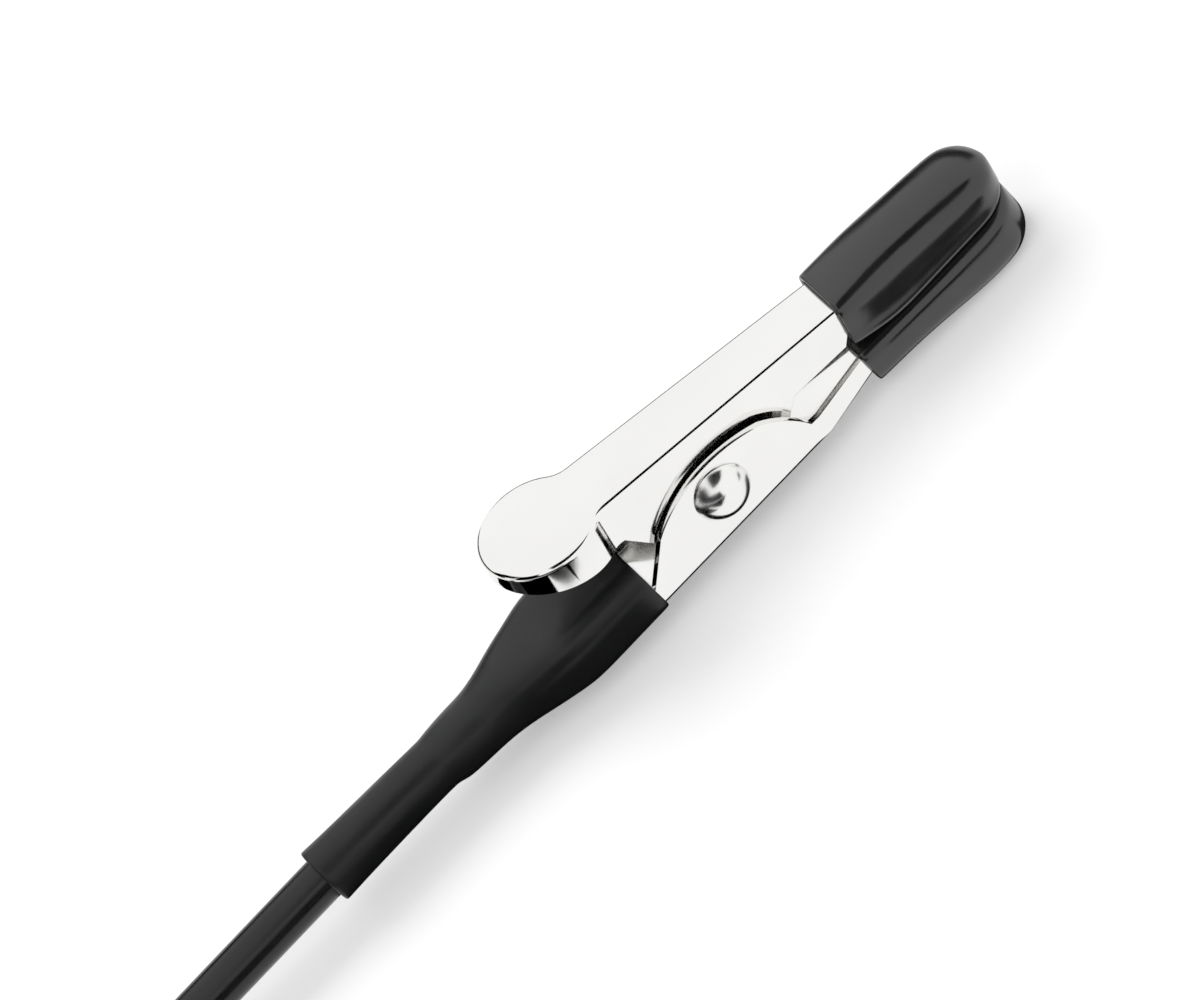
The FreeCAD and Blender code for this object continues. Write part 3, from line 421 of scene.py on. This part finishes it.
def soft_wall(piece, wall, placing):
    """Open a drawn-out section's ends, give it a wall in metres and a soft form, and bring it to its place."""
    open_ends()
    clean_slate()
    outward(piece)
    use(piece, "SOLIDIFY", thickness=wall * 1000, offset=-1.0, use_even_offset=True)
    use(piece, "SUBSURF", levels=2, render_levels=2)
    apply_all(piece)
    settle(piece, placing)
    smooth(piece)


def new_material(name, colour, roughness, metallic=0.0):
    """Principled material with its constants on the shader's own sockets."""
    material = bpy.data.materials.new(name)
    material.use_nodes = True
    tree = material.node_tree
    shader = tree.nodes["Principled BSDF"]
    shader.inputs["Base Color"].default_value = (*colour, 1.0)
    shader.inputs["Roughness"].default_value = roughness
    shader.inputs["Metallic"].default_value = metallic
    material.diffuse_color = (*colour, 1.0)
    return material, tree, shader


def object_coordinates(tree, scale=(1.0, 1.0, 1.0)):
    """Object coordinates with a scale for each axis."""
    place = tree.nodes.new("ShaderNodeTexCoord")
    mapping = tree.nodes.new("ShaderNodeMapping")
    mapping.inputs["Scale"].default_value = scale
    tree.links.new(place.outputs["Object"], mapping.inputs["Vector"])
    return mapping.outputs["Vector"]


def noise(tree, vector, scale, detail=3.0, roughness=0.5):
    """Noise of a given size on the coordinates."""
    texture = tree.nodes.new("ShaderNodeTexNoise")
    texture.inputs["Scale"].default_value = scale
    texture.inputs["Detail"].default_value = detail
    texture.inputs["Roughness"].default_value = roughness
    tree.links.new(vector, texture.inputs["Vector"])
    return texture.outputs["Fac"]


def spread(tree, value, low, high, from_low=0.3, from_high=0.7):
    """Bring a texture's value into a range."""
    span = tree.nodes.new("ShaderNodeMapRange")
    span.inputs["From Min"].default_value = from_low
    span.inputs["From Max"].default_value = from_high
    span.inputs["To Min"].default_value = low
    span.inputs["To Max"].default_value = high
    tree.links.new(value, span.inputs["Value"])
    return span.outputs["Result"]


def bump(tree, shader, height, distance, strength, onto=None):
    """Surface relief from a height, on top of an earlier one where there is one."""
    relief = tree.nodes.new("ShaderNodeBump")
    relief.inputs["Distance"].default_value = distance
    relief.inputs["Strength"].default_value = strength
    tree.links.new(height, relief.inputs["Height"])
    if onto is not None:
        tree.links.new(onto, relief.inputs["Normal"])
    tree.links.new(relief.outputs["Normal"], shader.inputs["Normal"])
    return relief.outputs["Normal"]


def mix_colours(tree, factor, first, second):
    """Colour between two colours by a factor."""
    mixer = tree.nodes.new("ShaderNodeMix")
    mixer.data_type = "RGBA"
    mixer.inputs["A"].default_value = (*first, 1.0)
    mixer.inputs["B"].default_value = (*second, 1.0)
    tree.links.new(factor, mixer.inputs["Factor"])
    return mixer.outputs["Result"]


def plated_metal(name, colour, roughness):
    """Bright plating with faint handling marks and a slight unevenness under it."""
    material, tree, shader = new_material(name, colour, roughness, 1.0)
    place = object_coordinates(tree)
    haze = noise(tree, place, scale=260.0, detail=4.0)
    tree.links.new(spread(tree, haze, roughness * 0.6, roughness * 1.7), shader.inputs["Roughness"])
    patches = spread(tree, noise(tree, place, scale=120.0), 0.0, 1.0)
    tint = mix_colours(tree, patches, colour, tuple(part * 0.965 for part in colour))
    tree.links.new(tint, shader.inputs["Base Color"])
    swell = noise(tree, place, scale=90.0, detail=1.0)
    uneven = bump(tree, shader, swell, distance=0.00004, strength=0.35)
    marks = noise(tree, place, scale=2400.0, detail=2.0)
    bump(tree, shader, marks, distance=0.000002, strength=0.25, onto=uneven)
    return material


def turned_metal(name, colour, roughness):
    """Metal with fine turning marks round its own axis."""
    material, tree, shader = new_material(name, colour, roughness, 1.0)
    place = object_coordinates(tree, (1.0, 1.0, 14.0))
    marks = noise(tree, place, scale=2600.0, roughness=0.6)
    tree.links.new(spread(tree, marks, roughness * 0.7, roughness * 1.4), shader.inputs["Roughness"])
    bump(tree, shader, marks, distance=0.000004, strength=0.5)
    return material


def black_soft(name, colour, roughness, grain, depth, gloss=0.5, sheen=0.0, waves=0.00008):
    """Soft black plastic with a fine skin, uneven gloss and slightly worn tone.

    Grain is the scale of its skin, depth that skin's height in metres and waves the height of its unevenness.
    """
    material, tree, shader = new_material(name, colour, roughness)
    place = object_coordinates(tree)
    handled = noise(tree, place, scale=180.0, detail=4.0)
    tree.links.new(spread(tree, handled, roughness * 0.8, roughness * 1.25), shader.inputs["Roughness"])
    worn = spread(tree, noise(tree, place, scale=140.0, detail=4.0), 0.0, 1.0)
    tone = mix_colours(tree, worn, colour, tuple(part * 1.5 for part in colour))
    tree.links.new(tone, shader.inputs["Base Color"])
    shader.inputs["Specular IOR Level"].default_value = gloss
    shader.inputs["Sheen Weight"].default_value = sheen
    soft = bump(tree, shader, noise(tree, place, scale=260.0, detail=2.0), distance=waves, strength=0.35)
    bump(tree, shader, noise(tree, place, scale=grain), distance=depth, strength=0.5, onto=soft)
    return material


def paint(piece, material):
    """Give a piece one material all over."""
    slots = piece.data.materials
    if slots:
        for index in range(len(slots)):
            slots[index] = material
    else:
        slots.append(material)


class CLIP_OT_stage(bpy.types.Operator):
    """Camera at the photograph's angle, pale floor, soft lamps, studio cards and white surround"""

    bl_idname = "clip.stage"
    bl_label = "Stage"

    def execute(self, context):
        self.camera(context)
        self.floor()
        self.cards()
        self.lamps()
        self.surround(context)
        return {"FINISHED"}

    def camera(self, context):
        """Long lens above the clip's near side, rolled so that the clip points to the upper right."""
        data = bpy.data.cameras.new("camera")
        camera = bpy.data.objects.new("camera", data)
        context.scene.collection.objects.link(camera)
        data.lens = CAMERA_LENS
        data.sensor_width = CAMERA_SENSOR
        roll = math.radians(CAMERA_ROLL)
        tilt = math.radians(CAMERA_TILT)
        along = Vector((1, 0, 0))
        rise = Vector((0, math.sin(tilt), math.cos(tilt)))
        back = Vector((0, -math.cos(tilt), math.sin(tilt)))
        right = along * math.cos(roll) - rise * math.sin(roll)
        up = along * math.sin(roll) + rise * math.cos(roll)
        turn = Matrix((right, up, back)).transposed()
        target = CLIP_ORIGIN + Vector(CAMERA_AIM)
        distance = CAMERA_WIDTH * data.lens / data.sensor_width
        camera.matrix_world = Matrix.Translation(target + back * distance) @ turn.to_4x4()
        data.clip_start = 0.01
        data.clip_end = 20.0
        context.scene.camera = camera

    def floor(self):
        """Pale floor that takes shadows, and is white in mirrors."""
        clean_slate()
        bpy.ops.mesh.primitive_plane_add(size=FLOOR_SIZE, location=FLOOR_MIDDLE)
        floor = named("floor")
        material, tree, shader = new_material("pale_floor", (0.9, 0.9, 0.9), 0.9)
        shader.inputs["Specular IOR Level"].default_value = 0.0
        glow = tree.nodes.new("ShaderNodeEmission")
        path = tree.nodes.new("ShaderNodeLightPath")
        level = tree.nodes.new("ShaderNodeMapRange")
        level.inputs["To Min"].default_value = 0.0
        level.inputs["To Max"].default_value = FLOOR_LIFT
        tree.links.new(path.outputs["Is Camera Ray"], level.inputs["Value"])
        tree.links.new(level.outputs[0], glow.inputs["Strength"])
        both = tree.nodes.new("ShaderNodeAddShader")
        tree.links.new(shader.outputs[0], both.inputs[0])
        tree.links.new(glow.outputs[0], both.inputs[1])
        mirrored = tree.nodes.new("ShaderNodeEmission")
        choice = tree.nodes.new("ShaderNodeMixShader")
        tree.links.new(path.outputs["Is Glossy Ray"], choice.inputs[0])
        tree.links.new(both.outputs[0], choice.inputs[1])
        tree.links.new(mirrored.outputs[0], choice.inputs[2])
        tree.links.new(choice.outputs[0], tree.nodes["Material Output"].inputs["Surface"])
        paint(floor, material)

    def cards(self):
        """Black cards, and the clip's painted shadow and a dark patch on the floor, which the bright metal mirrors
        as dark lines.
        """
        material, _, shader = new_material("black_card", (0.0, 0.0, 0.0), 1.0)
        shader.inputs["Specular IOR Level"].default_value = 0.0
        for name, azimuths, elevations in CARDS:
            clean_slate()
            bpy.ops.mesh.primitive_grid_add(x_subdivisions=CARD_STEPS, y_subdivisions=CARD_STEPS, size=1.0)
            card = named(name)
            (left, right), (low, high) = azimuths, elevations
            for vert in card.data.vertices:
                azimuth = math.radians(left + (right - left) * (vert.co.x + 0.5))
                height = math.radians(low + (high - low) * (vert.co.y + 0.5))
                level = Vector((math.sin(azimuth), math.cos(azimuth), 0.0)) * math.cos(height)
                vert.co = PIVOT + (level + Vector((0.0, 0.0, math.sin(height)))) * CARD_DISTANCE
            self.show_in_mirrors_only(card, material)
        # Painted shadow of the clip on the floor, and a dark patch at its front left, seen only in mirrors.
        for name, outline in SHADES.items():
            shade = bpy.data.meshes.new(name)
            corners = [CLIP_ORIGIN + Vector((x, y, 0.0)) / 1000 for x, y in outline]
            points = [(corner.x, corner.y, SHADE_HEIGHT) for corner in corners]
            shade.from_pydata(points, [], [range(len(points))])
            card = bpy.data.objects.new(name, shade)
            bpy.context.scene.collection.objects.link(card)
            self.show_in_mirrors_only(card, material)

    def show_in_mirrors_only(self, card, material):
        """Paint a card and hide it from all but glossy rays."""
        paint(card, material)
        card.visible_camera = False
        card.visible_diffuse = False
        card.visible_transmission = False
        card.visible_shadow = False

    def lamps(self):
        """Round soft lamps that look at the clip and don't show in mirrors."""
        target = CLIP_ORIGIN + Vector(LAMP_AIM)
        for name, direction, distance, width, power in LAMPS:
            data = bpy.data.lights.new(name, "AREA")
            data.shape = "DISK"
            data.size = width
            data.energy = power
            lamp = bpy.data.objects.new(name, data)
            bpy.context.scene.collection.objects.link(lamp)
            towards = Vector(direction).normalized()
            turn = towards.to_track_quat("Z", "Y").to_matrix().to_4x4()
            lamp.matrix_world = Matrix.Translation(target + towards * distance) @ turn
            lamp.visible_glossy = False

    def surround(self, context):
        """White to the camera and to mirrors, and a softer light on everything else."""
        world = bpy.data.worlds.new("white_surround")
        context.scene.world = world
        world.use_nodes = True
        tree = world.node_tree
        tree.nodes.clear()
        out = tree.nodes.new("ShaderNodeOutputWorld")
        path = tree.nodes.new("ShaderNodeLightPath")
        seen = tree.nodes.new("ShaderNodeMath")
        seen.operation = "MAXIMUM"
        tree.links.new(path.outputs["Is Camera Ray"], seen.inputs[0])
        tree.links.new(path.outputs["Is Glossy Ray"], seen.inputs[1])
        level = tree.nodes.new("ShaderNodeMapRange")
        level.inputs["To Min"].default_value = SURROUND_LIGHT
        level.inputs["To Max"].default_value = SURROUND_SEEN
        tree.links.new(seen.outputs[0], level.inputs["Value"])
        light = tree.nodes.new("ShaderNodeBackground")
        light.inputs["Color"].default_value = (1.0, 1.0, 1.0, 1.0)
        tree.links.new(level.outputs[0], light.inputs["Strength"])
        tree.links.new(light.outputs[0], out.inputs["Surface"])


class CLIP_OT_arm(bpy.types.Operator):
    """Bendable arm from the heat-shrink to the foot"""

    bl_idname = "clip.arm"
    bl_label = "Arm"

    def execute(self, context):
        clean_slate()
        sizes = context.scene.clip_sizes
        bpy.ops.curve.primitive_nurbs_path_add()
        arm = named("arm")
        line = arm.data
        line.splines.clear()
        spline = line.splines.new("NURBS")
        spline.points.add(len(ARM_ROUTE) - 1)
        for point, place in zip(spline.points, ARM_ROUTE):
            point.co = (*place, 1.0)
        spline.order_u = 3
        spline.use_endpoint_u = True
        spline.resolution_u = 24
        line.dimensions = "3D"
        line.bevel_depth = sizes.arm_diameter / 2
        line.bevel_resolution = 8
        line.use_fill_caps = True
        arm.matrix_world = Matrix.Identity(4)
        finishes = context.scene.clip_finishes
        paint(arm, black_soft("arm_sheath_black", finishes.sheath, 0.24, grain=900.0, depth=0.00001))
        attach(arm, LOWER_BODY)
        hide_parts("arm_sheath", "arm_core")
        return {"FINISHED"}


class CLIP_OT_metal(bpy.types.Operator):
    """Finishes of the metal pieces that keep their solid shapes, and the rivet's two heads"""

    bl_idname = "clip.metal"
    bl_label = "Metal finishes"

    def execute(self, context):
        finishes = context.scene.clip_finishes
        plating = plated_metal("nickel_plating", finishes.plating, finishes.plating_roughness)
        steel = plated_metal("satin_plating", finishes.steel, 0.3)
        wire = plated_metal("spring_wire", finishes.steel, 0.22)
        turned = turned_metal("turned_steel", finishes.steel, 0.28)
        anodised = turned_metal("black_anodising", finishes.anodising, 0.42)
        # Each solid's material, slot and broken edge in metres.
        choices = {
            "upper_jaw": (plating, "nickel_plate", 0.00003),
            "lower_jaw": (plating, "nickel_plate", 0.00003),
            "arm_end_ferrule": (steel, "tinned_copper", 0),
            "foot_cap": (anodised, "black_anodised", 0.0001),
            "foot_cup": (steel, "plated_pot", 0.0001),
            "foot_magnet": (plating, "plated_magnet", 0.00008),
            "foot_screw": (turned, "steel_screw", 0.00005),
            "foot_grub_screw": (turned, "steel_screw", 0.00005),
        }
        for node, (material, slot, edge) in choices.items():
            piece = smooth_copy(node, f"{node}_finished", edge)
            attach(piece, UPPER_BODY if node.startswith("upper") else LOWER_BODY)
            paint(piece, material)
        rivet = draw_round("rivet_finished", RIVET)
        settle(rivet, Matrix.Translation(PIVOT) @ Matrix.Rotation(math.radians(90), 4, "X"))
        smooth(rivet, 40)
        paint(rivet, plated_metal("rivet_plating", finishes.plating, 0.2))
        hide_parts("pivot_rivet")
        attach(rivet, LOWER_BODY)
        spring = smooth_copy("torsion_spring", "spring_finished", 0)
        paint(spring, wire)
        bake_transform(spring)
        return {"FINISHED"}


def mouth(place):
    """Closing plane of the mouth in the upper jaw's frame."""
    return (MOUTH_HEIGHT + place * math.sin(JAW_DROOP)) / math.cos(JAW_DROOP)


class CLIP_OT_upper_sleeve(bpy.types.Operator):
    """Soft sock on the upper jaw's tip"""

    bl_idname = "clip.upper_sleeve"
    bl_label = "Upper sleeve"

    def execute(self, context):
        full, tip, top = 3.4, 31.85, 8.6
        start = (15.0, 3.125, 2.4, 6.8)
        piece = begin_section("upper_sleeve", *start, low_round=0.7, high_round=1.1, crown=0.2, lip=0.14)
        stations = [
            (15.25, 3.2, 2.35, 6.86, 0),
            (17.5, 3.28, 2.1, 7.12, 0),
            (19.8, 3.38, mouth(19.8), 7.65, 0),
            (24.0, full, mouth(24.0), 8.3, 0.05),
            (tip - full, full, mouth(tip - full), top, 0.08),
        ]
        stations += round_nose(full, tip, mouth, top, low_round=0.4, high_round=1.9)
        extrude_through(start, stations, arches={17.5: 0.3, 19.8: 0.35})
        finish_sleeve(context, piece, on_pivot(), UPPER_BODY, "upper_jaw_sleeve")
        return {"FINISHED"}


class CLIP_OT_lower_sleeve(bpy.types.Operator):
    """Soft sock on the lower jaw's tip"""

    bl_idname = "clip.lower_sleeve"
    bl_label = "Lower sleeve"

    def execute(self, context):
        full, tip, lip = 3.6, 41.0, 2.85
        start = (23.7, 3.3, -1.0, lip)
        piece = begin_section("lower_sleeve", *start, low_round=1.2, high_round=0.9)
        stations = [
            (24.0, 3.36, -1.0, lip, 0),
            (28.0, 3.45, -1.05, lip, 0),
            (31.8, 3.55, -1.5, lip, 0),
            (34.8, full, -1.97, lip, 0),
            (tip - full, full, -2.0, lip, 0),
        ]
        stations += round_nose(full, tip, lambda place: -2.0, lip, low_round=1.5, high_round=0.4)
        extrude_through(start, stations)
        finish_sleeve(context, piece, in_clip(), LOWER_BODY, "lower_jaw_sleeve")
        return {"FINISHED"}


def finish_sleeve(context, piece, placing, body, node):
    """Give a drawn-out sock its wall, its soft form and its vinyl."""
    soft_wall(piece, context.scene.clip_sizes.sleeve_wall, placing)
    material = bpy.data.materials.get("soft_vinyl_black")
    if material is None:
        material = black_soft("soft_vinyl_black", context.scene.clip_finishes.vinyl, 0.21, grain=1600.0,
                              depth=0.000012, gloss=0.8, sheen=0.04, waves=0.00014)
    paint(piece, material)
    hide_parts(node)
    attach(piece, body)


class CLIP_OT_heat_shrink(bpy.types.Operator):
    """Heat-shrink that takes the form of the tail and of the arm's end"""

    bl_idname = "clip.heat_shrink"
    bl_label = "Heat-shrink"

    def execute(self, context):
        start = (0.0, 4.35, -0.55, 5.25)
        piece = begin_section("heat_shrink", *start, low_round=1.4, high_round=2.0)
        stations = [
            (-0.4, 4.35, -0.55, 5.25, 0),
            (-4.0, 4.35, -0.58, 5.22, 0),
            (-7.2, 4.35, -0.62, 5.2, 0),
            (-8.6, 4.2, -0.62, 5.12, 0.05),
            (-10.6, 3.8, -0.6, 4.95, 0.2),
            (-12.4, 3.45, -0.57, 4.94, 0.35),
            (-14.4, 2.98, -0.54, 4.66, 0.6),
            (-16.2, 2.76, -0.5, 4.44, 0.85),
            (-17.9, 2.7, -0.47, 4.58, 0.95),
            (-20.2, 2.6, -0.35, 4.45, 1.0),
            (-20.9, 2.36, -0.02, 4.42, 1.0),
            (-21.6, 2.32, 0.08, 4.45, 1.0),
            (-26.0, 2.36, 0.06, 4.7, 1.0),
            (-31.0, 2.44, 0.02, 4.86, 1.0),
            (-33.3, 2.54, -0.05, 5.02, 1.0),
            (-33.6, 2.55, -0.06, 5.03, 1.0),
        ]
        extrude_through(start, stations)
        soft_wall(piece, context.scene.clip_sizes.shrink_wall, in_clip())
        paint(piece, black_soft("heat_shrink_black", context.scene.clip_finishes.shrink, 0.36, grain=2200.0,
                                depth=0.00001, gloss=0.42, waves=0.00016))
        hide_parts("shrink_tube")
        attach(piece, LOWER_BODY)
        return {"FINISHED"}


STEPS = [CLIP_OT_stage, CLIP_OT_arm, CLIP_OT_metal, CLIP_OT_upper_sleeve, CLIP_OT_lower_sleeve,
         CLIP_OT_heat_shrink]


class CLIP_PT_panel(bpy.types.Panel):
    """Steps that dress the clip"""

    bl_label = "Crocodile clip"
    bl_idname = "CLIP_PT_panel"
    bl_space_type = "VIEW_3D"
    bl_region_type = "UI"
    bl_category = "Clip"

    def draw(self, context):
        for step in STEPS:
            self.layout.operator(step.bl_idname)


CLASSES = [CLIP_PG_finishes, CLIP_PG_sizes, *STEPS, CLIP_PT_panel]


def register():
    """Register the classes and give the scene its settings."""
    for kind in CLASSES:
        bpy.utils.register_class(kind)
    bpy.types.Scene.clip_finishes = PointerProperty(type=CLIP_PG_finishes)
    bpy.types.Scene.clip_sizes = PointerProperty(type=CLIP_PG_sizes)


def unregister():
    """Take the settings and classes away again."""
    del bpy.types.Scene.clip_sizes
    del bpy.types.Scene.clip_finishes
    for kind in reversed(CLASSES):
        bpy.utils.unregister_class(kind)


def main():
    """Dress the clip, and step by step."""
    register()
    bpy.ops.clip.stage()
    bpy.ops.clip.arm()
    bpy.ops.clip.metal()
    bpy.ops.clip.upper_sleeve()
    bpy.ops.clip.lower_sleeve()
    bpy.ops.clip.heat_shrink()
    bpy.context.scene.view_settings.view_transform = "Standard"


if __name__ == "__main__":
    main()
